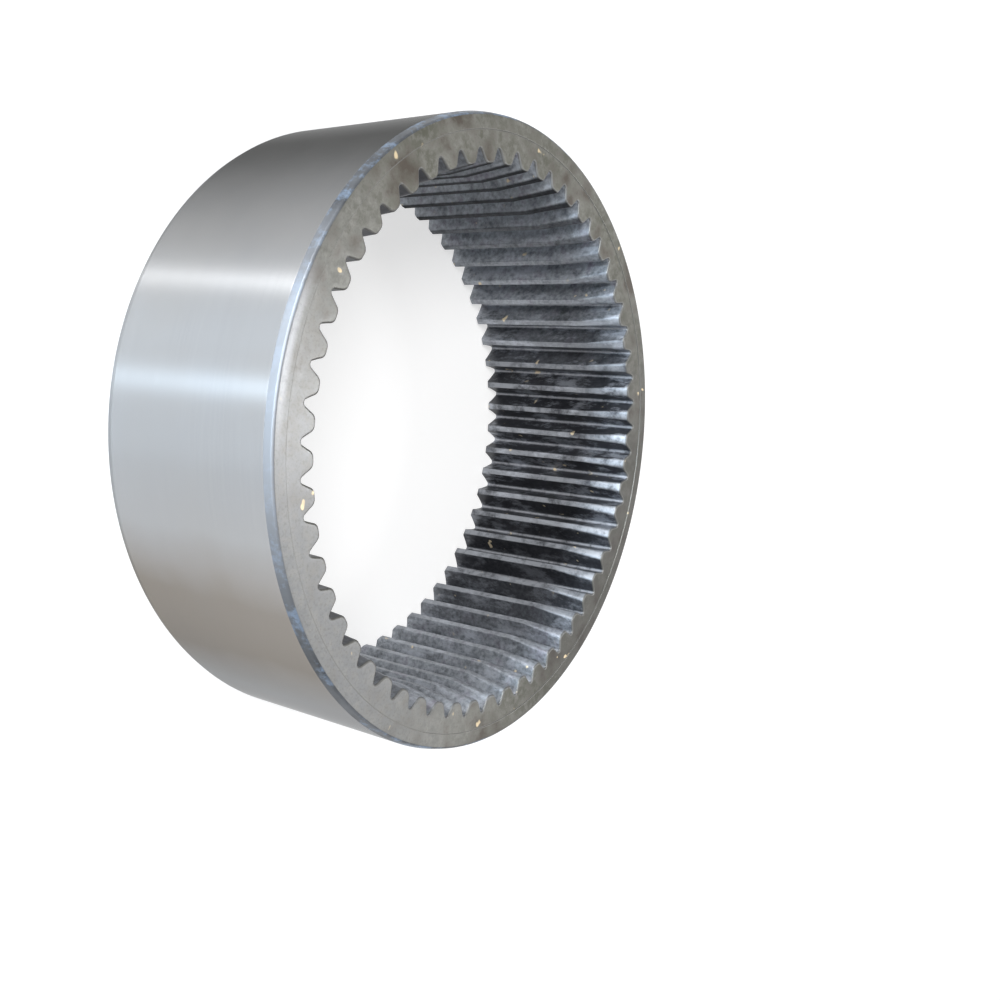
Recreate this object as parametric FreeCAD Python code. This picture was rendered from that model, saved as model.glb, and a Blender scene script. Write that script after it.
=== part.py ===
import FreeCAD, Part
import math
import os

# An internal ring gear for a planetary drive: one steel ring with straight
# involute teeth on the inside. Sizes are in millimetres and angles in degrees.
# The ring lies flat. Its axis is +Z and the origin is the centre of its back
# end face. The front end face, with the long lead-in to the teeth, is up.

# Teeth
module = 4.0
tooth_count = 57
pressure_angle = 25.0
addendum = 4.0              # pitch circle to tooth land
dedendum = 5.0              # pitch circle to root
backlash = 0.15             # play left in each tooth space at the pitch circle
land_bevel = 0.5            # along both edges of each tooth land

# Ring body
ring_width = 88.0           # along the axis
rim_thickness = 14.0        # root circle to outside diameter

# Press-in chamfer at both ends of the outside diameter
chamfer_length = 3.5
chamfer_angle = 15.0
chamfer_edge_bevel = 0.8    # breaks the edge between the chamfer and the end face

# Lead-in turned across the tooth lands at the front of the bore
lead_in_length = 22.0
lead_in_depth = 3.0
lead_in_land_bevel = 1.2    # the land bevel, grown to this at the front face
mouth_bevel = 0.8           # ends of the lands, at the front face
back_bevel = 1.5            # ends of the lands, at the back face

# Front end face: the toothed zone lies a little below the outer land
outer_land_width = 7.0
outer_land_height = 0.4

# Circles and levels that follow from the sizes above
pitch_radius = module * tooth_count / 2
base_radius = pitch_radius * math.cos(math.radians(pressure_angle))
land_radius = pitch_radius - addendum
root_radius = pitch_radius + dedendum
outer_radius = root_radius + rim_thickness
tooth_face_level = ring_width - outer_land_height

# How far the tooth cutter runs past the end faces
overcut = mouth_bevel

# Number of parts that each flank curve is plotted in
flank_parts = 4


def involute(angle):
    """Involute function of an angle in radians."""
    return math.tan(angle) - angle


# Half the angle of a tooth space, at the pitch circle and at the base circle
space_half_angle = math.pi / (2 * tooth_count) + backlash / (2 * pitch_radius)
base_half_angle = space_half_angle + involute(math.radians(pressure_angle))


def find_root_centre():
    """Distance from the axis to the centre of the root round, which touches the
    root circle and both flanks of a space. It is found by halving a span."""
    near = base_radius
    far = root_radius
    for _ in range(60):
        centre = (near + far) / 2
        to_flank = base_radius * (base_half_angle - involute(math.acos(base_radius / centre)))
        if centre + to_flank > root_radius:
            far = centre
        else:
            near = centre
    return centre


root_centre = find_root_centre()
root_round_radius = root_radius - root_centre


def polar(radius, angle, height):
    """Point at a radius and an angle from the X axis, at a height."""
    return FreeCAD.Vector(radius * math.cos(angle), radius * math.sin(angle), height)


def curve_through(points):
    """Smooth curve edge through points."""
    curve = Part.BSplineCurve()
    curve.interpolate(points)
    return curve.toShape()


def straight(start, end):
    """Straight edge between two points."""
    return Part.LineSegment(start, end).toShape()


def round_through(start, middle, end):
    """Round edge from start to end, held as a smooth curve."""
    arc = Part.Arc(start, middle, end).toShape()
    return arc.Curve.toBSpline(arc.FirstParameter, arc.LastParameter).toShape()


def flank_point(radius, height):
    """Point of the left involute flank of the tooth space on the X axis."""
    angle = base_half_angle - involute(math.acos(base_radius / radius))
    return polar(radius, angle, height)


def mirrored(point):
    """The same point on the other side of the X axis."""
    return FreeCAD.Vector(point.x, -point.y, point.z)


def space_outline(height):
    """Outline of the tooth space: two involute flanks that meet in a full round."""
    start_radius = max(land_radius - land_bevel, base_radius)
    start_roll = math.sqrt((start_radius / base_radius) ** 2 - 1)
    centre_roll = math.sqrt((root_centre / base_radius) ** 2 - 1)
    end_roll = centre_roll + root_round_radius / base_radius
    left = []
    for step in range(flank_parts + 1):
        roll = start_roll + (end_roll - start_roll) * step / flank_parts
        left.append(flank_point(base_radius * math.sqrt(1 + roll ** 2), height))
    right = [mirrored(point) for point in left]
    root_point = FreeCAD.Vector(root_radius, 0, height)
    inner = FreeCAD.Vector(land_radius - addendum, left[0].y, height)
    return Part.Wire([
        straight(inner, left[0]),
        curve_through(left),
        round_through(left[-1], root_point, right[-1]),
        curve_through(right[::-1]),
        straight(right[0], mirrored(inner)),
        straight(mirrored(inner), inner),
    ])


def beyond(start, end):
    """Point past the end, half as far again from the start."""
    return end + (end - start) * 0.5


def bevel_outline(height, land, bevel):
    """Outline whose two slanting sides bevel the land edges beside the tooth
    space. Each side runs on past the flank and past the land."""
    on_flank = flank_point(land + bevel, height)
    land_edge = flank_point(land, height)
    on_land = polar(land, math.atan2(land_edge.y, land_edge.x) + bevel / land, height)
    past_flank = beyond(on_land, on_flank)
    past_land = beyond(on_flank, on_land)
    return Part.makePolygon([past_flank, past_land, mirrored(past_land), mirrored(past_flank), past_flank])


def make_space_cutter():
    """One tooth space with the bevels of the lands on both sides of it."""
    bottom = -overcut
    top = tooth_face_level + overcut
    space = Part.makeLoft([space_outline(bottom), space_outline(top)], True, True)
    lead_in_start = tooth_face_level - lead_in_length
    lead_in_share = (top - lead_in_start) / lead_in_length
    top_land = land_radius + lead_in_depth * lead_in_share
    top_bevel = land_bevel + (lead_in_land_bevel - land_bevel) * lead_in_share
    land_bevels = Part.makeLoft([
        bevel_outline(bottom, land_radius, land_bevel),
        bevel_outline(lead_in_start, land_radius, land_bevel),
        bevel_outline(top, top_land, top_bevel),
    ], True, True)
    return space.fuse(land_bevels)


def make_blank():
    """The turned ring before its teeth are cut."""
    chamfer_depth = chamfer_length * math.tan(math.radians(chamfer_angle))
    face_edge_radius = outer_radius - chamfer_depth - chamfer_edge_bevel
    outer_land_radius = outer_radius - outer_land_width
    mouth_radius = land_radius + lead_in_depth
    outline = [
        (land_radius + back_bevel, 0),
        (face_edge_radius, 0),
        (outer_radius - chamfer_depth, chamfer_edge_bevel),
        (outer_radius, chamfer_length),
        (outer_radius, ring_width - chamfer_length),
        (outer_radius - chamfer_depth, ring_width - chamfer_edge_bevel),
        (face_edge_radius, ring_width),
        (outer_land_radius, ring_width),
        (outer_land_radius, tooth_face_level),
        (mouth_radius + mouth_bevel, tooth_face_level),
        (mouth_radius, tooth_face_level - mouth_bevel),
        (land_radius, tooth_face_level - lead_in_length),
        (land_radius, back_bevel),
        (land_radius + back_bevel, 0),
    ]
    points = [FreeCAD.Vector(x, 0, z) for x, z in outline]
    section = Part.Face(Part.makePolygon(points))
    return section.revolve(FreeCAD.Vector(0, 0, 0), FreeCAD.Vector(0, 0, 1), 360)


def cut_teeth(blank):
    """The blank with a tooth space cut at every pitch."""
    cutter = make_space_cutter()
    cutters = []
    for index in range(tooth_count):
        turned = cutter.copy()
        turned.rotate(FreeCAD.Vector(0, 0, 0), FreeCAD.Vector(0, 0, 1), index * 360 / tooth_count)
        cutters.append(turned)
    return blank.cut(cutters).Solids[0]


ring_gear = cut_teeth(make_blank())

os.makedirs("parts", exist_ok=True)
ring_gear.exportStep("parts/ring_gear.step")
print("ring_gear", "valid", ring_gear.isValid(), "volume", round(ring_gear.Volume))
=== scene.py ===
import bpy
import math
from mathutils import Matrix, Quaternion, Vector


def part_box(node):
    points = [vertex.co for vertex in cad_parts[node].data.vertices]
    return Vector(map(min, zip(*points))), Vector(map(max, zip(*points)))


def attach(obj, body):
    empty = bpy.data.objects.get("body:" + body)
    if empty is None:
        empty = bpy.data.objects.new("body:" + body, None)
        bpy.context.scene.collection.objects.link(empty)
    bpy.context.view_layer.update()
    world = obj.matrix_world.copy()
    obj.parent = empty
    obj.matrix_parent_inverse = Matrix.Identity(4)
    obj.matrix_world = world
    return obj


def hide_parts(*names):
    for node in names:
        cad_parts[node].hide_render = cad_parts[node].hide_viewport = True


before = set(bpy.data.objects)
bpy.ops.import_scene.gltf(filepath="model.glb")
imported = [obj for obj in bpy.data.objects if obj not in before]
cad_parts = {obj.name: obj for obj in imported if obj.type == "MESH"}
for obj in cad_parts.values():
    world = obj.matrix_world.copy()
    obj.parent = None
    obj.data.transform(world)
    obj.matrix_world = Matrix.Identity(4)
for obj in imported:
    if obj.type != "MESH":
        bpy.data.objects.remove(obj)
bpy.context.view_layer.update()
mm = 0.001
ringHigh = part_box("ring_gear")[1]


# a node socket that can stand in a sum: each operator adds the Math node it means
class Wire:
    def __init__(self, bench, socket):
        self.bench = bench
        self.socket = socket

    def math(self, operation, *others):
        return self.bench.add("ShaderNodeMath", {"operation": operation}, [self, *others])

    def __add__(self, other):
        return self.math("ADD", other)

    def __sub__(self, other):
        return self.math("SUBTRACT", other)

    def __mul__(self, other):
        return self.math("MULTIPLY", other)

    def __truediv__(self, other):
        return self.math("DIVIDE", other)

    def __pow__(self, other):
        return self.math("POWER", other)

    def __radd__(self, other):
        return self.bench.add("ShaderNodeMath", {"operation": "ADD"}, [other, self])

    def __rsub__(self, other):
        return self.bench.add("ShaderNodeMath", {"operation": "SUBTRACT"}, [other, self])

    def __rmul__(self, other):
        return self.bench.add("ShaderNodeMath", {"operation": "MULTIPLY"}, [other, self])


# a node tree with one way of adding nodes
class Bench:
    def __init__(self, tree):
        self.tree = tree
        self.given = {}

    # settings come first, then the values or wires of the inputs; a list joins several wires
    def add(self, kind, settings=None, inputs=None, out=0):
        made = self.tree.nodes.new(kind)
        for name, value in (settings or {}).items():
            if name == "stops":
                self.setStops(made.color_ramp, value)
            elif name == "entries":
                while len(made.index_switch_items) < value:
                    made.index_switch_items.new()
            else:
                setattr(made, name, value)
        named = inputs.items() if isinstance(inputs, dict) else enumerate(inputs or [])
        for key, value in named:
            for one in value if isinstance(value, list) else [value]:
                if isinstance(one, Wire):
                    self.tree.links.new(one.socket, made.inputs[key])
                else:
                    made.inputs[key].default_value = one
        if isinstance(out, tuple):
            return tuple(Wire(self, made.outputs[name]) for name in out)
        return Wire(self, made.outputs[out])

    def setStops(self, ramp, stops):
        while len(ramp.elements) < len(stops):
            ramp.elements.new(0.5)
        for element, (place, colour) in zip(ramp.elements, stops):
            element.position = place
            element.color = colour

    # how far a value has come from start to end, held between 0 and 1
    def share(self, value, start, end):
        inputs = {"Value": value, "From Min": start, "From Max": end}
        return self.add("ShaderNodeMapRange", {"clamp": True}, inputs)

    # one number while the test holds, another while it doesn't
    def choose(self, test, whenTrue, whenFalse):
        return test * whenTrue + (1 - test) * whenFalse

    # a colour that follows a value through its stops
    def tones(self, value, stops):
        return self.add("ShaderNodeValToRGB", {"stops": stops}, [value])

    def mixColour(self, factor, first, second, way="MIX"):
        settings = {"data_type": "RGBA", "blend_type": way, "clamp_factor": True}
        return self.add("ShaderNodeMix", settings, {0: factor, 6: first, 7: second}, out=2)


def newFormTree(name, inputs, outputs):
    tree = bpy.data.node_groups.new(name, "GeometryNodeTree")
    for label, kind in inputs:
        tree.interface.new_socket(name=label, in_out="INPUT", socket_type=kind)
    for label, kind in outputs:
        tree.interface.new_socket(name=label, in_out="OUTPUT", socket_type=kind)
    bench = Bench(tree)
    labels = tuple(label for label, _ in inputs)
    bench.given = dict(zip(labels, bench.add("NodeGroupInput", out=labels)))
    return bench


def closeFormTree(bench, results):
    bench.add("NodeGroupOutput", None, results, out=())


# the ring

# lengths in millimetres and angles in degrees, as such a gear is drawn
ring = dict(
    toothCount=57, module=4.0, pressureAngle=25.0, addendum=4.0, dedendum=5.0, backlash=0.15,
    landRound=0.5, leadInLength=22.0, leadInDepth=3.0, leadInLandRound=2.8,
    frontRound=0.7, backRound=0.3, backBevel=1.5,
    outerLandWidth=7.0, outerLandHeight=0.4, outerLandRound=0.3,
    chamferLength=3.5, chamferAngle=15.0, chamferEdgeRound=1.2, outsideEdgeRound=2.0,
)
# how many faces each stretch gets: along half a tooth, then over its height and on the end faces
steps = dict(
    root=4, flank=5, round=4, land=1, fillet=5,
    backEdge=2, straight=3, leadIn=6, frontEdge=4, face=3,
)
halfSteps = steps["root"] + steps["flank"] + steps["round"] + steps["land"]
chamferStart = 0.55  # the share of the round beside the face that has the chamfer's finish
mergeReach = 0.004  # millimetres within which points of neighbouring bands are joined
evenWeight = 60  # how far large faces lead the smooth normals
halvings = 60  # how often the span that holds the root round's centre is halved


def involute(angle):
    return math.tan(angle) - angle


# what follows from the sizes, all in metres and radians
def ringSizes():
    pitchRadius = ring["module"] * ring["toothCount"] / 2
    pressure = math.radians(ring["pressureAngle"])
    baseRadius = pitchRadius * math.cos(pressure)
    rootRadius = pitchRadius + ring["dedendum"]
    halfSpace = math.pi / (2 * ring["toothCount"]) + ring["backlash"] / (2 * pitchRadius)
    flankAngle = halfSpace + involute(pressure)
    # the root round touches the root circle and both flanks
    near, far = baseRadius, rootRadius
    for _ in range(halvings):
        rootCentre = (near + far) / 2
        toFlank = baseRadius * (flankAngle - involute(math.acos(baseRadius / rootCentre)))
        if rootCentre + toFlank > rootRadius:
            far = rootCentre
        else:
            near = rootCentre
    lengths = {
        "base radius": baseRadius,
        "root centre": rootCentre,
        "root round": rootRadius - rootCentre,
        "land radius": pitchRadius - ring["addendum"],
        "land round": ring["landRound"],
        "lead-in length": ring["leadInLength"],
        "lead-in depth": ring["leadInDepth"],
        "lead-in land round": ring["leadInLandRound"],
        "front round": ring["frontRound"],
        "back round": ring["backRound"],
        "back bevel": ring["backBevel"],
        "outer land width": ring["outerLandWidth"],
        "outer land height": ring["outerLandHeight"],
        "outer land round": ring["outerLandRound"],
        "chamfer length": ring["chamferLength"],
        "chamfer depth": ring["chamferLength"] * math.tan(math.radians(ring["chamferAngle"])),
        "chamfer edge round": ring["chamferEdgeRound"],
        "outside edge round": ring["outsideEdgeRound"],
    }
    sizes = {name: value * mm for name, value in lengths.items()}
    sizes["flank angle"] = flankAngle
    sizes["half pitch"] = math.pi / ring["toothCount"]
    sizes["outside radius"] = ringHigh.x
    sizes["width"] = ringHigh.z
    return sizes


# where half a tooth outline lies, from the middle of the root at 0 to the middle of the land at 1
def makeToothOutline():
    names = ["along", "growth", "land radius", "land round", "base radius", "flank angle",
             "root centre", "root round", "half pitch"]
    bench = newFormTree(
        "toothOutline", [(name, "NodeSocketFloat") for name in names],
        [("across", "NodeSocketFloat"), ("aside", "NodeSocketFloat")])
    along, growth, land, landRound, base, flankAngle, rootCentre, rootRound, halfPitch = (
        bench.given[name] for name in names)
    rootEnd = steps["root"] / halfSteps
    flankEnd = rootEnd + steps["flank"] / halfSteps
    roundEnd = flankEnd + steps["round"] / halfSteps
    quarter = math.pi / 2

    # the round in the root
    reach = rootRound + growth
    centreRoll = ((rootCentre / base) ** 2.0 - 1.0).math("SQRT")
    turn = (quarter - centreRoll.math("ARCTANGENT")) * bench.share(along, 0.0, rootEnd)
    rootAcross = rootCentre + reach * turn.math("COSINE")
    rootAside = reach * turn.math("SINE")

    # the round at the edge of the land, touching the land and the flank
    landNow = land + growth
    edgeRadius = landNow + landRound
    edgeRoll = ((edgeRadius / base) ** 2.0 - 1.0).math("SQRT")
    edgeLean = edgeRoll.math("ARCTANGENT")
    edgeBase = flankAngle + (growth + landRound) / base - edgeRoll
    edgeAngle = edgeBase + edgeLean
    swing = edgeBase + 3 * quarter - (quarter - edgeLean) * bench.share(along, flankEnd, roundEnd)
    roundAcross = edgeRadius * edgeAngle.math("COSINE") + landRound * swing.math("COSINE")
    roundAside = edgeRadius * edgeAngle.math("SINE") + landRound * swing.math("SINE")

    # the involute between the two rounds
    rootRoll = centreRoll + reach / base
    landRoll = edgeRoll - landRound / base
    roll = rootRoll + (landRoll - rootRoll) * bench.share(along, rootEnd, flankEnd)
    flankRadius = base * (roll * roll + 1.0).math("SQRT")
    flankTurn = flankAngle + growth / base - roll + roll.math("ARCTANGENT")
    flankAcross = flankRadius * flankTurn.math("COSINE")
    flankAside = flankRadius * flankTurn.math("SINE")

    # the land
    landTurn = edgeAngle + (halfPitch - edgeAngle) * bench.share(along, roundEnd, 1.0)
    landAcross = landNow * landTurn.math("COSINE")
    landAside = landNow * landTurn.math("SINE")

    inRoot = along.math("LESS_THAN", rootEnd)
    inFlank = along.math("LESS_THAN", flankEnd)
    inRound = along.math("LESS_THAN", roundEnd)
    across = bench.choose(inRound, roundAcross, landAcross)
    across = bench.choose(inFlank, flankAcross, across)
    across = bench.choose(inRoot, rootAcross, across)
    aside = bench.choose(inRound, roundAside, landAside)
    aside = bench.choose(inFlank, flankAside, aside)
    aside = bench.choose(inRoot, rootAside, aside)
    closeFormTree(bench, {"across": across, "aside": aside})
    return bench.tree


# a grid over one tooth pitch: side runs from -1 to 1 over the pitch and up from 0 to 1 over the rows
def pitchGrid(bench, rows):
    sizes = {"Size X": 1.0, "Size Y": 1.0, "Vertices X": 2 * halfSteps + 1, "Vertices Y": rows}
    grid = bench.add("GeometryNodeMeshGrid", None, sizes)
    place = bench.add("GeometryNodeInputPosition")
    sideways, up = bench.add("ShaderNodeSeparateXYZ", None, [place], out=(0, 1))
    return grid, sideways * 2.0, up + 0.5


def placed(bench, grid, across, aside, height):
    spot = bench.add("ShaderNodeCombineXYZ", None, [across, aside, height])
    return bench.add("GeometryNodeSetPosition", None, {"Geometry": grid, "Position": spot})


# the tooth outline at a height, with the lead-in and the back bevel taken off the lands
def outlineAt(bench, outline, side, height, growth):
    given = bench.given
    toothFace = given["width"] - given["outer land height"]
    leadIn = bench.share(height, toothFace - given["lead-in length"], toothFace)
    bevel = bench.share(height, given["back bevel"], 0.0)
    land = given["land radius"] + given["lead-in depth"] * leadIn + given["back bevel"] * bevel
    landRound = given["land round"] + (given["lead-in land round"] - given["land round"]) * leadIn
    inputs = {"along": side.math("ABSOLUTE"), "growth": growth, "land radius": land, "land round": landRound}
    for name in ("base radius", "flank angle", "root centre", "root round", "half pitch"):
        inputs[name] = given[name]
    across, aside = bench.add(
        "GeometryNodeGroup", {"node_tree": outline}, inputs, out=("across", "aside"))
    return across, aside * side.math("SIGN")


# a band of the toothed wall, from one height to another
def wallBand(bench, outline, rows, low, high):
    grid, side, up = pitchGrid(bench, rows + 1)
    height = low + (high - low) * up
    across, aside = outlineAt(bench, outline, side, height, 0.0)
    return placed(bench, grid, across, aside, height)


# the round where the toothed wall meets an end face; way is 1 at the front and -1 at the back
def wallEdge(bench, outline, rows, face, reach, way):
    grid, side, up = pitchGrid(bench, rows + 1)
    turn = up * (math.pi / 2) if way > 0 else (1 - up) * (math.pi / 2)
    growth = reach * (1 - turn.math("COSINE"))
    height = face - reach * (1 - turn.math("SINE")) * float(way)
    across, aside = outlineAt(bench, outline, side, height, growth)
    return placed(bench, grid, across, aside, height)


# the flat between the tooth outline and a circle; way is 1 at the front and -1 at the back
def endFace(bench, outline, rows, face, reach, circle, way):
    grid, side, up = pitchGrid(bench, rows + 1)
    outward = up if way > 0 else 1 - up
    across, aside = outlineAt(bench, outline, side, face, reach)
    turn = side * bench.given["half pitch"]
    across = across + (circle * turn.math("COSINE") - across) * outward
    aside = aside + (circle * turn.math("SINE") - aside) * outward
    return placed(bench, grid, across, aside, face)


# the turned section from the step on the front face round the outside to the back face
def outsideSection(bench, circle):
    given = bench.given
    width = given["width"]
    outside = given["outside radius"]
    neck = outside - given["chamfer depth"]
    length = given["chamfer length"]
    edge = given["chamfer edge round"]
    shoulder = given["outside edge round"]
    corners = [
        (circle, width - given["outer land height"], 0.0),
        (circle, width, given["outer land round"]),
        (neck, width, edge),
        (outside, width - length, shoulder),
        (outside, length, shoulder),
        (neck, 0.0, edge),
        (circle, 0.0, 0.0),
    ]
    points = bench.add("GeometryNodePoints", None, {"Count": len(corners)})
    index = bench.add("GeometryNodeInputIndex")

    # picks the entry whose number is the point's own
    def picked(kind, entries):
        inputs = {"Index": index}
        inputs.update((1 + number, entry) for number, entry in enumerate(entries))
        return bench.add("GeometryNodeIndexSwitch", {"data_type": kind, "entries": len(entries)}, inputs)

    places = [bench.add("ShaderNodeCombineXYZ", None, [x, 0.0, z]) for x, z, _ in corners]
    points = bench.add(
        "GeometryNodeSetPosition", None, {"Geometry": points, "Position": picked("VECTOR", places)})
    line = bench.add("GeometryNodePointsToCurves", None, {"Points": points})
    radii = picked("FLOAT", [radius for _, _, radius in corners])
    return bench.add(
        "GeometryNodeFilletCurve", {"mode": "POLY"},
        {"Curve": line, "Count": steps["fillet"], "Radius": radii, "Limit Radius": True})


def outsideBand(bench, circle):
    section = outsideSection(bench, circle)
    count = bench.add(
        "GeometryNodeAttributeDomainSize", {"component": "CURVE"}, {"Geometry": section}, out="Point Count")
    grid, side, up = pitchGrid(bench, count)
    row = (up * (count - 1)).math("ROUND")
    place = bench.add("GeometryNodeInputPosition")
    spot = bench.add(
        "GeometryNodeSampleIndex", {"data_type": "FLOAT_VECTOR"},
        {"Geometry": section, "Value": place, "Index": row})
    radius, height = bench.add("ShaderNodeSeparateXYZ", None, [spot], out=(0, 2))
    turn = side * bench.given["half pitch"]
    return placed(bench, grid, radius * turn.math("COSINE"), radius * turn.math("SINE"), height)


def makeRingTree(sizes, finishes):
    inputs = [("tooth count", "NodeSocketInt")] + [(name, "NodeSocketFloat") for name in sizes]
    bench = newFormTree("ringForm", inputs, [("Geometry", "NodeSocketGeometry")])
    given = bench.given
    outline = makeToothOutline()
    toothFace = given["width"] - given["outer land height"]
    leadInStart = toothFace - given["lead-in length"]
    circle = given["outside radius"] - given["outer land width"]
    frontRound = given["front round"]
    backRound = given["back round"]

    wall = [
        wallEdge(bench, outline, steps["backEdge"], 0.0, backRound, -1),
        wallBand(bench, outline, 1, backRound, given["back bevel"]),
        wallBand(bench, outline, steps["straight"], given["back bevel"], leadInStart),
        wallBand(bench, outline, steps["leadIn"], leadInStart, toothFace - frontRound),
        wallEdge(bench, outline, steps["frontEdge"], toothFace, frontRound, 1),
    ]
    ends = [
        endFace(bench, outline, steps["face"], toothFace, frontRound, circle, 1),
        endFace(bench, outline, steps["face"], 0.0, backRound, circle, -1),
    ]
    outside = [outsideBand(bench, circle)]

    finished = []
    for bands, finish in ((wall, "teeth"), (ends, "face"), (outside, "face")):
        joined = bench.add("GeometryNodeJoinGeometry", None, {"Geometry": bands})
        finished.append(bench.add(
            "GeometryNodeSetMaterial", None, {"Geometry": joined, "Material": finishes[finish]}))

    # the outside and its chamfers are told from the faces by where they lie
    place = bench.add("GeometryNodeInputPosition")
    x, y, z = bench.add("ShaderNodeSeparateXYZ", None, [place], out=(0, 1, 2))
    radius = (x * x + y * y).math("SQRT")
    neck = given["outside radius"] - given["chamfer depth"] - given["chamfer edge round"] * chamferStart
    onChamfer = radius.math("GREATER_THAN", neck)
    onOutside = onChamfer * z.math("LESS_THAN", given["width"] - given["chamfer length"])
    dressed = finished.pop()
    for test, finish in ((onChamfer, "chamfer"), (onOutside, "outside")):
        dressed = bench.add(
            "GeometryNodeSetMaterial", None,
            {"Geometry": dressed, "Selection": test, "Material": finishes[finish]})

    tooth = bench.add("GeometryNodeJoinGeometry", None, {"Geometry": finished + [dressed]})
    line = {"Count": given["tooth count"], "Offset": (0.0, 0.0, 0.0)}
    places = bench.add("GeometryNodeMeshLine", None, line)
    index = bench.add("GeometryNodeInputIndex")
    turn = bench.add("ShaderNodeCombineXYZ", None, [0.0, 0.0, index * given["half pitch"] * 2.0])
    copies = bench.add(
        "GeometryNodeInstanceOnPoints", None, {"Points": places, "Instance": tooth, "Rotation": turn})
    whole = bench.add("GeometryNodeRealizeInstances", None, {"Geometry": copies})
    whole = bench.add("GeometryNodeMergeByDistance", None, {"Geometry": whole, "Distance": mergeReach * mm})
    whole = bench.add("GeometryNodeFlipFaces", None, {"Mesh": whole})
    closeFormTree(bench, {"Geometry": whole})
    return bench.tree


def makeRing(finishes):
    sizes = ringSizes()
    tree = makeRingTree(sizes, finishes)
    carrier = bpy.data.objects.new("ringForm", bpy.data.meshes.new("ringForm"))
    bpy.context.scene.collection.objects.link(carrier)
    form = carrier.modifiers.new("ringForm", "NODES")
    form.node_group = tree
    for item in tree.interface.items_tree:
        if item.in_out == "INPUT":
            form[item.identifier] = ring["toothCount"] if item.name == "tooth count" else sizes[item.name]
    evaluated = carrier.evaluated_get(bpy.context.evaluated_depsgraph_get())
    mesh = bpy.data.meshes.new_from_object(evaluated)
    bpy.data.objects.remove(carrier)
    mesh.name = "ringGear"
    mesh.shade_smooth()
    made = bpy.data.objects.new("ringGear", mesh)
    bpy.context.scene.collection.objects.link(made)
    even = made.modifiers.new("even normals", "WEIGHTED_NORMAL")
    even.weight = evenWeight
    print("ring built:", len(mesh.vertices), "points,", len(mesh.polygons), "faces,",
          sum(len(p.vertices) - 2 for p in mesh.polygons), "triangles")
    return made


# finishes

def newFinish(name):
    material = bpy.data.materials.new(name)
    material.use_nodes = True
    material.node_tree.nodes.clear()
    return material, Bench(material.node_tree)


def closeFinish(bench, surface, bump, cover=None):
    height, distance = bump
    surface["Normal"] = bench.add(
        "ShaderNodeBump", None, {"Height": height, "Distance": distance * mm, "Strength": 1.0})
    shader = bench.add("ShaderNodeBsdfPrincipled", None, surface)
    if cover is not None:
        factor, upper = cover
        upperShader = bench.add("ShaderNodeBsdfPrincipled", None, upper)
        shader = bench.add("ShaderNodeMixShader", None, [factor, shader, upperShader])
    bench.add("ShaderNodeOutputMaterial", None, {"Surface": shader}, out=())


# the place on the ring: straight, and as a turn in degrees, a radius and a height
def ringPlace(bench):
    place = bench.add("ShaderNodeTexCoord", out="Object")
    x, y, z = bench.add("ShaderNodeSeparateXYZ", None, [place], out=(0, 1, 2))
    radius = (x * x + y * y).math("SQRT")
    turn = y.math("ARCTAN2", x).math("DEGREES")
    return place, turn, radius, z


# a stretch of the turn is a middle and a reach in degrees: 1 in its core, falling to 0 at its ends
stretchCore = 0.35


def onStretch(bench, turn, stretch):
    middle, reach = stretch
    apart = (turn - middle).math("WRAP", 180.0, -180.0).math("ABSOLUTE")
    return bench.share(apart, reach, reach * stretchCore)


# the turn with its value shaken by a cloud, so that stretches end in a ragged line
def shaken(turn, cloud, degrees):
    return turn + (cloud - 0.5) * degrees


# a share that starts from a least value instead of 0
def raised(least, share):
    return least + (1 - least) * share


def noise(bench, place, scale, detail=2.0, rough=0.5, squeeze=(1.0, 1.0, 1.0)):
    spot = bench.add("ShaderNodeMapping", None, {"Vector": place, "Scale": squeeze})
    inputs = {"Vector": spot, "Scale": scale, "Detail": detail, "Roughness": rough}
    return bench.add("ShaderNodeTexNoise", None, inputs)


# chips and dust: small spots, gathered where a wider pattern lets them
speckLook = dict(
    spotNoise=dict(scale=190.0, detail=1.0), spotReach=(0.72, 0.76),
    gatherNoise=dict(scale=55.0), gatherReach=(0.48, 0.55),
)


def specks(bench, place):
    look = speckLook
    spots = bench.share(noise(bench, place, **look["spotNoise"]), *look["spotReach"])
    gathered = bench.share(noise(bench, place, **look["gatherNoise"]), *look["gatherReach"])
    return spots * gathered


# the ground outside: steel with fine lines round it, with painted reflections on some stretches: a dark one,
# a warm one and a cool one
groundLook = dict(
    tones=[(0.0, (0.42, 0.428, 0.44, 1)), (1.0, (0.485, 0.49, 0.5, 1))], cloud=(0.46, 0.45, 0.435, 1),
    # a painted dark reflection darkens one stretch of the outside
    paintedDarkReflection=(0.2, 0.2, 0.188, 1), paintedDarkReflectionStretch=(-70.0, 52.0),
    # a painted warm reflection tints another stretch
    paintedWarmReflection=(0.7, 0.645, 0.58, 1), paintedWarmReflectionStretch=(39.0, 18.0),
    # a painted cool, bluish reflection tints a third stretch
    paintedCoolReflection=(0.94, 0.97, 1.0, 1), paintedCoolReflectionStretch=(2.0, 26.0), shake=8.0,
    lineNoise=dict(scale=18.0, detail=3.0, rough=0.7, squeeze=(1.0, 1.0, 130.0)),
    cloudNoise=dict(scale=22.0, detail=3.0), cloudReach=(0.35, 0.75), cloudShare=0.4,
    roughness=0.19, lineRoughness=0.04, brushed=1.0, brushTurn=0.25,
    edgeTint=(0.45, 0.45, 0.45, 1), bump=0.0006,
)


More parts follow.
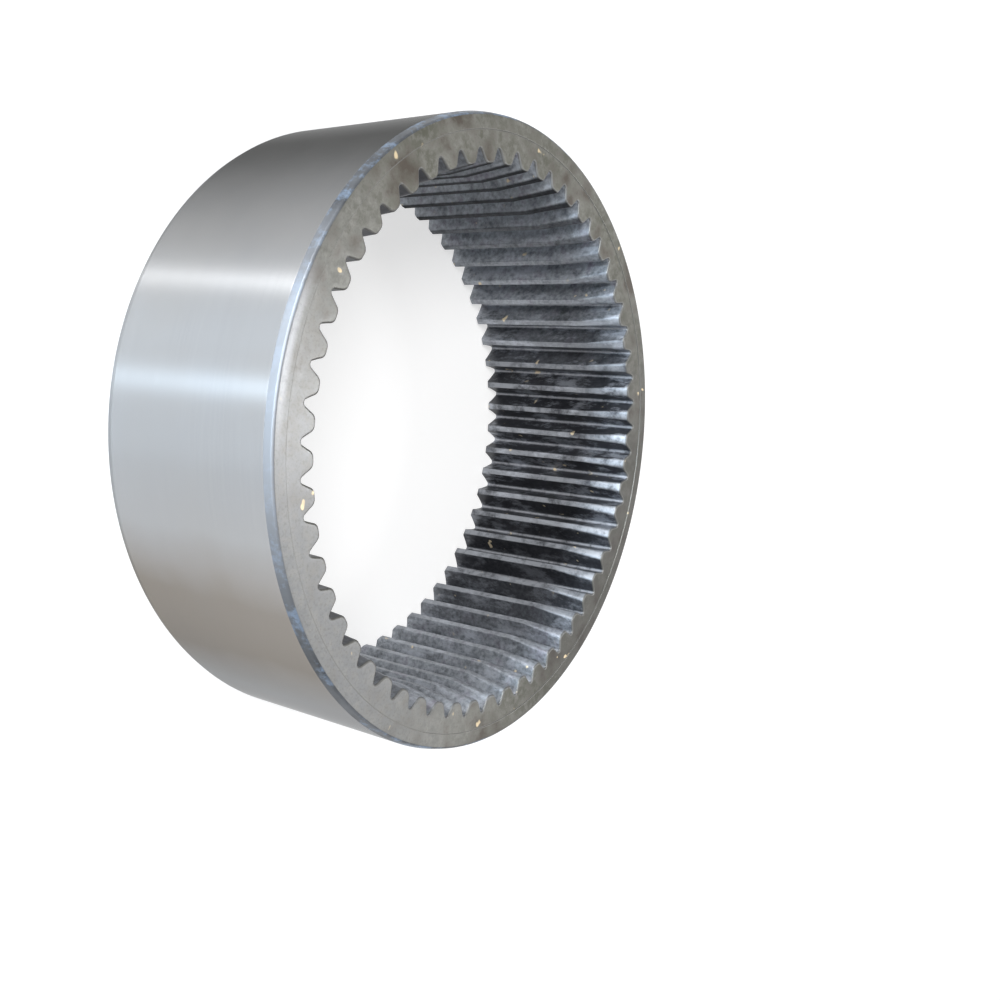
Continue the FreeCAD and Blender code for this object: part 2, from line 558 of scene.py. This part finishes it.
def outsideFinish():
    look = groundLook
    material, bench = newFinish("groundOutside")
    place, turn = ringPlace(bench)[:2]
    lines = noise(bench, place, **look["lineNoise"])
    cloud = noise(bench, place, **look["cloudNoise"])
    ragged = shaken(turn, cloud, look["shake"])
    colour = bench.tones(lines, look["tones"])
    clouded = bench.share(cloud, *look["cloudReach"]) * look["cloudShare"]
    colour = bench.mixColour(clouded, colour, look["cloud"])
    # painted reflections: a dark one, a warm one and a cool one, each on its stretch
    paintedDarkReflection = onStretch(bench, ragged, look["paintedDarkReflectionStretch"])
    colour = bench.mixColour(paintedDarkReflection, colour, look["paintedDarkReflection"], "MULTIPLY")
    # painted warm reflection on one stretch
    paintedWarmReflection = onStretch(bench, ragged, look["paintedWarmReflectionStretch"])
    colour = bench.mixColour(paintedWarmReflection, colour, look["paintedWarmReflection"], "MULTIPLY")
    # painted cool reflection on one stretch
    paintedCoolReflection = onStretch(bench, turn, look["paintedCoolReflectionStretch"])
    colour = bench.mixColour(paintedCoolReflection, colour, look["paintedCoolReflection"], "MULTIPLY")
    closeFinish(bench, {
        "Base Color": colour, "Metallic": 1.0, "Roughness": look["roughness"] + lines * look["lineRoughness"],
        "Anisotropic": look["brushed"], "Anisotropic Rotation": look["brushTurn"],
        "Specular Tint": look["edgeTint"],
    }, (lines, look["bump"]))
    return material


# the front chamfer: bluish oxide, worn in patches and lighter on one stretch
chamferLook = dict(
    tones=[(0.3, (0.055, 0.058, 0.064, 1)), (0.7, (0.13, 0.138, 0.15, 1))],
    cloudNoise=dict(scale=60.0, detail=4.0, rough=0.6), wornNoise=dict(scale=90.0, detail=5.0, rough=0.75),
    worn=(0.19, 0.25, 0.34, 1), wornReach=(0.48, 0.6), wornShare=0.7,
    lighter=(0.25, 0.265, 0.29, 1), lighterStretch=(1.0, 33.0), shake=14.0, lighterShare=0.8,
    metal=0.65, roughness=0.42, cloudRoughness=0.12, bump=0.02,
)


def chamferFinish():
    look = chamferLook
    material, bench = newFinish("oxideChamfer")
    place, turn = ringPlace(bench)[:2]
    cloud = noise(bench, place, **look["cloudNoise"])
    worn = bench.share(noise(bench, place, **look["wornNoise"]), *look["wornReach"])
    lighter = onStretch(bench, shaken(turn, cloud, look["shake"]), look["lighterStretch"])
    colour = bench.tones(cloud, look["tones"])
    colour = bench.mixColour(worn * look["wornShare"], colour, look["worn"])
    colour = bench.mixColour(lighter * look["lighterShare"], colour, look["lighter"])
    closeFinish(bench, {
        "Base Color": colour, "Metallic": look["metal"],
        "Roughness": look["roughness"] + cloud * look["cloudRoughness"],
    }, (cloud, look["bump"]))
    return material


# the end faces: a mottled skin of scale, with a painted sheen that lightens one side of the ring, and darker
# on the other
faceLook = dict(
    tones=[(0.32, (0.07, 0.07, 0.05, 1)), (0.66, (0.15, 0.148, 0.128, 1))],
    cloudNoise=dict(scale=38.0, detail=5.0, rough=0.6), patchNoise=dict(scale=75.0, detail=5.0, rough=0.65),
    grainNoise=dict(scale=300.0, detail=4.0, rough=0.65), fineNoise=dict(scale=900.0, detail=2.0, rough=0.6),
    # a painted sheen: a lighter tone over one stretch of the face, where the stains also fade
    paintedSheen=(0.22, 0.224, 0.235, 1), paintedSheenStretch=(30.0, 72.0), paintedSheenShare=0.75,
    grain=(0.26, 0.255, 0.24, 1), grainReach=(0.42, 0.68), grainShare=0.55,
    dot=(0.07, 0.07, 0.05, 1), dotReach=(0.5, 0.7), dotShare=0.25,
    stain=(0.05, 0.036, 0.025, 1), stainReach=(0.5, 0.66), stainShare=0.85, stainLost=0.7,
    # a darker tone multiplied over the stretch round 160 degrees
    darker=(0.36, 0.35, 0.345, 1), darkerStretch=(160.0, 75.0), shake=30.0,
    # a painted highlight lightens the outer land on one stretch
    paintedHighlight=(0.38, 0.39, 0.41, 1), paintedHighlightStretch=(-6.5, 15.0), paintedHighlightReach=(5.6, 3.2), paintedHighlightShare=0.85,
    paintedHighlightGrain=(0.35, 0.6), paintedHighlightLeast=0.5,
    step=(0.16, 0.158, 0.148, 1), stepReach=(0.4, 0.2), stepShare=0.7, speck=(0.62, 0.5, 0.32, 1),
    metal=0.5, roughness=0.3, grainRoughness=0.14, bump=0.02,
)


def faceFinish():
    look = faceLook
    material, bench = newFinish("scaledFace")
    place, turn, radius = ringPlace(bench)[:3]
    cloud = noise(bench, place, **look["cloudNoise"])
    patch = noise(bench, place, **look["patchNoise"])
    grain = noise(bench, place, **look["grainNoise"])
    fine = noise(bench, place, **look["fineNoise"])
    ragged = shaken(turn, cloud, look["shake"])
    paintedSheenMask = onStretch(bench, ragged, look["paintedSheenStretch"])
    darker = onStretch(bench, ragged, look["darkerStretch"])
    colour = bench.tones(cloud, look["tones"])
    # painted sheen lightens one stretch
    colour = bench.mixColour(paintedSheenMask * look["paintedSheenShare"], colour, look["paintedSheen"])
    grained = bench.share(grain, *look["grainReach"]) * look["grainShare"]
    colour = bench.mixColour(grained, colour, look["grain"])
    dotted = bench.share(fine, *look["dotReach"]) * look["dotShare"]
    colour = bench.mixColour(dotted, colour, look["dot"])
    stained = bench.share(patch, *look["stainReach"]) * (look["stainShare"] - look["stainLost"] * paintedSheenMask)
    colour = bench.mixColour(stained, colour, look["stain"])
    # darker on the stretch round 160 degrees
    colour = bench.mixColour(darker, colour, look["darker"], "MULTIPLY")
    # a painted highlight on the outer land, on one stretch
    inner, outer = look["paintedHighlightReach"]
    onOuterLand = bench.share(radius, ringHigh.x - inner * mm, ringHigh.x - outer * mm)
    paintedHighlight = onOuterLand * onStretch(bench, turn, look["paintedHighlightStretch"]) * look["paintedHighlightShare"]
    paintedHighlight = paintedHighlight * raised(look["paintedHighlightLeast"], bench.share(grain, *look["paintedHighlightGrain"]))
    colour = bench.mixColour(paintedHighlight, colour, look["paintedHighlight"])
    # the small step round the toothed zone takes an even grey tone
    fromStep = (radius - (ringHigh.x - ring["outerLandWidth"] * mm)).math("ABSOLUTE")
    far, near = look["stepReach"]
    onStep = bench.share(fromStep, far * mm, near * mm)
    colour = bench.mixColour(onStep * look["stepShare"], colour, look["step"])
    colour = bench.mixColour(specks(bench, place), colour, look["speck"])
    closeFinish(bench, {
        "Base Color": colour, "Metallic": look["metal"],
        "Roughness": look["roughness"] + grain * look["grainRoughness"],
    }, (grain, look["bump"]))
    return material


# the teeth: dark oxide, painted lighter and bluer above and below, scraped light on the lands, with a painted
# highlight in the roots and painted shade on the lands of one stretch
teethLook = dict(
    tones=[(0.3, (0.018, 0.019, 0.024, 1)), (0.7, (0.05, 0.053, 0.062, 1))],
    cloudNoise=dict(scale=45.0, detail=4.0, rough=0.6), patchNoise=dict(scale=120.0, detail=5.0, rough=0.7),
    grainNoise=dict(scale=500.0, detail=3.0, rough=0.6),
    streakNoise=dict(scale=95.0, detail=6.0, rough=0.75, squeeze=(1.0, 1.0, 0.5)),
    grain=(0.12, 0.125, 0.14, 1), grainReach=(0.4, 0.75), grainShare=0.35,
    # blue paints light: the top and bottom stretches of the teeth are lighter and bluer, over a blue oxide
    # mottle
    blueAndPaintedLight=(0.54, 0.58, 0.63, 1), topPaintedLightStretch=(-105.0, 55.0), lowPaintedLightStretch=(95.0, 50.0), lowPaintedLightShare=0.75,
    blueAndPaintedLightReach=(0.15, 0.55), mottleReach=(0.3, 0.65), mottleLeast=0.45, shake=20.0,
    stain=(0.17, 0.13, 0.18, 1), stainReach=(0.52, 0.68), stainShare=0.6,
    # the streaks are light marks in the oxide that also paint light on the shaded flanks of two stretches
    streak=(0.5, 0.53, 0.59, 1), streakReach=(0.5, 0.62), streakShare=0.7,
    sidePaintedLightStreaks=(-160.0, 60.0), lowPaintedLightStreaks=(100.0, 60.0), scrapedReach=(0.68, 0.45),
    land=(0.6, 0.63, 0.68, 1), landReach=(0.7, 0.1), plainLand=0.45, mouthLand=0.5,
    # the root tone is a painted highlight in the roots
    root=(0.5, 0.52, 0.56, 1), paintedRootHighlightReach=(0.3, 0.55), rootStart=0.5,
    rim=(0.12, 0.118, 0.108, 1), rimReach=(0.9, 0.5), rimShare=0.85, speck=(0.8, 0.68, 0.48, 1),
    # this matt black is painted shade on the lands of one stretch: a painted shadow and dark reflection
    paintedShade=(0.004, 0.004, 0.005, 1), paintedShadeStretch=(-86.0, 48.0), paintedShadeShare=0.9, paintedShadeRoughness=0.8, paintedShadeGloss=0.1,
    metal=0.6, roughness=0.36, grainRoughness=0.2, bump=0.02,
)


def teethFinish():
    look = teethLook
    material, bench = newFinish("oxideTeeth")
    sizes = ringSizes()
    place, turn, radius, height = ringPlace(bench)
    cloud = noise(bench, place, **look["cloudNoise"])
    patch = noise(bench, place, **look["patchNoise"])
    grain = noise(bench, place, **look["grainNoise"])
    ragged = shaken(turn, cloud, look["shake"])

    # where on a tooth a point lies
    toothFace = sizes["width"] - sizes["outer land height"]
    leadIn = bench.share(height, toothFace - sizes["lead-in length"], toothFace)
    aboveLand = radius - (leadIn * sizes["lead-in depth"] + sizes["land radius"])
    far, near = look["landReach"]
    onLand = bench.share(aboveLand, far * mm, near * mm)
    rootBottom = sizes["root centre"] + sizes["root round"]
    rootLow = sizes["root centre"] + look["rootStart"] * sizes["root round"]
    inRoot = bench.share(radius, rootLow, rootBottom)
    far, near = look["rimReach"]
    atRim = bench.share(height, toothFace - far * mm, toothFace - near * mm)

    colour = bench.tones(cloud, look["tones"])
    grained = bench.share(grain, *look["grainReach"]) * look["grainShare"]
    colour = bench.mixColour(grained, colour, look["grain"])
    # painted light and oxide: the top and bottom stretches are lighter and bluer, as lit by the floor and
    # sky, with a blue mottle and purple stains
    low = onStretch(bench, ragged, look["lowPaintedLightStretch"]) * look["lowPaintedLightShare"]
    blueAndPaintedLightMask = onStretch(bench, ragged, look["topPaintedLightStretch"]).math("MAXIMUM", low)
    mottle = raised(look["mottleLeast"], bench.share(grain, *look["mottleReach"]))
    colour = bench.mixColour(blueAndPaintedLightMask * mottle * bench.share(patch, *look["blueAndPaintedLightReach"]), colour, look["blueAndPaintedLight"])
    stained = bench.share(patch, *look["stainReach"]) * blueAndPaintedLightMask * look["stainShare"]
    colour = bench.mixColour(stained, colour, look["stain"])
    # light streaks in the oxide, laid on two stretches where they also paint light on the shaded flanks
    streaks = noise(bench, place, **look["streakNoise"])
    lowPaintedLightStreaks = onStretch(bench, turn, look["lowPaintedLightStreaks"])
    paintedLightStreakStretches = onStretch(bench, turn, look["sidePaintedLightStreaks"]).math("MAXIMUM", lowPaintedLightStreaks)
    streaksAndPaintedLight = bench.share(streaks, *look["streakReach"]) * paintedLightStreakStretches * look["streakShare"]
    colour = bench.mixColour(streaksAndPaintedLight, colour, look["streak"])
    # scraped light on the lands, more so on the lead-in, and a painted highlight in the roots
    scraped = bench.share(patch, *look["scrapedReach"]) * (1 - blueAndPaintedLightMask)
    lighterShare = look["plainLand"] + (look["mouthLand"] - look["plainLand"]) * leadIn
    colour = bench.mixColour(onLand * lighterShare * scraped, colour, look["land"])
    paintedRootHighlight = inRoot * bench.share(patch, *look["paintedRootHighlightReach"]) * scraped
    colour = bench.mixColour(paintedRootHighlight, colour, look["root"])
    colour = bench.mixColour(atRim * look["rimShare"], colour, look["rim"])
    colour = bench.mixColour(specks(bench, place), colour, look["speck"])
    # painted shade: the lands of one stretch are matt and black, a painted shadow and a painted dark
    # reflection
    paintedShadeMask = onLand * onStretch(bench, turn, look["paintedShadeStretch"]) * look["paintedShadeShare"]
    paintedShade = {
        "Base Color": look["paintedShade"], "Roughness": look["paintedShadeRoughness"], "Specular IOR Level": look["paintedShadeGloss"],
    }
    closeFinish(bench, {
        "Base Color": colour, "Metallic": look["metal"],
        "Roughness": look["roughness"] + grain * look["grainRoughness"],
    }, (grain, look["bump"]), (paintedShadeMask, paintedShade))
    return material


# floor, light and camera

stageSet = dict(floorSize=12.0, floorColour=(0.5, 0.5, 0.5, 1), lift=0.6, plainWorld=0.35, lampDistance=3.0)
# place and aim in millimetres, roll in degrees
camera = dict(
    place=(360.8, 19.1, 333.7), aim=(-20.8, 25.8, 75.4), roll=97.78, lens=36.68, sensor=36.0, clipStart=0.01,
)
coolWhite = (0.72, 0.87, 1.0)
sun = dict(name="main", azimuth=-16, height=42, spread=24, strength=2.3)
# azimuth and height of each lamp in degrees, its size in metres and its power in watts
lamps = [
    dict(name="glare", azimuth=184.6, height=46, size=(0.3, 0.5), power=16),
    dict(name="back", azimuth=164, height=37, size=(1.2, 0.8), power=4),
    dict(name="low", azimuth=118, height=6, size=(1.2, 0.3), power=6),
    dict(name="streak", azimuth=-36, height=5, size=(0.02, 0.4), power=50),
    dict(name="soft", azimuth=-22, height=5, size=(0.8, 0.3), power=17, colour=coolWhite),
    dict(name="front", azimuth=-5, height=5, size=(0.16, 0.3), power=50, colour=coolWhite),
    dict(name="wide", azimuth=10, height=5, size=(0.8, 0.3), power=15, colour=coolWhite),
]


# 1 for a ray that sees the surface itself, 0 for one that carries its light elsewhere
def seenDirectly(bench):
    seen, mirrored, through = bench.add(
        "ShaderNodeLightPath", out=("Is Camera Ray", "Is Glossy Ray", "Is Transmission Ray"))
    return seen.math("MAXIMUM", mirrored).math("MAXIMUM", through)


def makeFloor():
    half = stageSet["floorSize"] / 2
    mesh = bpy.data.meshes.new("floor")
    corners = [(-half, -half, 0), (half, -half, 0), (half, half, 0), (-half, half, 0)]
    mesh.from_pydata(corners, [], [(0, 1, 2, 3)])
    floor = bpy.data.objects.new("floor", mesh)
    bpy.context.scene.collection.objects.link(floor)
    material, bench = newFinish("paleFloor")
    matt = bench.add("ShaderNodeBsdfDiffuse", None, {"Color": stageSet["floorColour"]})
    strength = seenDirectly(bench) * stageSet["lift"]
    lift = bench.add("ShaderNodeEmission", None, {"Color": (1, 1, 1, 1), "Strength": strength})
    both = bench.add("ShaderNodeAddShader", None, [matt, lift])
    bench.add("ShaderNodeOutputMaterial", None, {"Surface": both}, out=())
    mesh.materials.append(material)


def makeWorld():
    world = bpy.data.worlds.new("studio")
    bpy.context.scene.world = world
    world.use_nodes = True
    world.node_tree.nodes.clear()
    bench = Bench(world.node_tree)
    strength = raised(stageSet["plainWorld"], seenDirectly(bench))
    back = bench.add("ShaderNodeBackground", None, {"Color": (1, 1, 1, 1), "Strength": strength})
    bench.add("ShaderNodeOutputWorld", None, {"Surface": back}, out=())


# the way out from the ring at an azimuth and a height in degrees
def direction(azimuth, height):
    turn, rise = math.radians(azimuth), math.radians(height)
    return Vector((math.cos(rise) * math.cos(turn), math.cos(rise) * math.sin(turn), math.sin(rise)))


# a light object that shines along its way in from a direction
def placeLight(name, light, away, distance=0.0):
    made = bpy.data.objects.new(name, light)
    made.location = Vector((0, 0, ringHigh.z / 2)) + away * distance
    made.rotation_mode = "QUATERNION"
    made.rotation_quaternion = (-away).to_track_quat("-Z", "Y")
    bpy.context.scene.collection.objects.link(made)


def addLamp(name, azimuth, height, size, power, colour=(1, 1, 1)):
    light = bpy.data.lights.new(name, "AREA")
    light.shape = "RECTANGLE"
    light.size, light.size_y = size
    light.energy = power
    light.color = colour
    placeLight(name, light, direction(azimuth, height), stageSet["lampDistance"])


# even light from far off, whose spread in degrees softens the shadows
def addSun(name, azimuth, height, spread, strength):
    light = bpy.data.lights.new(name, "SUN")
    light.angle = math.radians(spread)
    light.energy = strength
    placeLight(name, light, direction(azimuth, height))


def makeCamera():
    data = bpy.data.cameras.new("camera")
    data.lens = camera["lens"]
    data.sensor_width = camera["sensor"]
    data.clip_start = camera["clipStart"]
    made = bpy.data.objects.new("camera", data)
    place = Vector(camera["place"]) * mm
    aim = Vector(camera["aim"]) * mm
    made.location = place
    made.rotation_mode = "QUATERNION"
    level = (aim - place).to_track_quat("-Z", "Y")
    made.rotation_quaternion = level @ Quaternion((0, 0, 1), math.radians(camera["roll"]))
    bpy.context.scene.collection.objects.link(made)
    bpy.context.scene.camera = made


finishes = {
    "outside": outsideFinish(), "chamfer": chamferFinish(), "face": faceFinish(), "teeth": teethFinish(),
}
print("finishes made:", len(finishes))
ringGear = makeRing(finishes)
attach(ringGear, "root")
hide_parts("ring_gear")

makeFloor()
makeWorld()
addSun(**sun)
for lamp in lamps:
    addLamp(**lamp)
makeCamera()
bpy.context.scene.view_settings.view_transform = "Standard"
print("stage set:", len(lamps), "lamps")
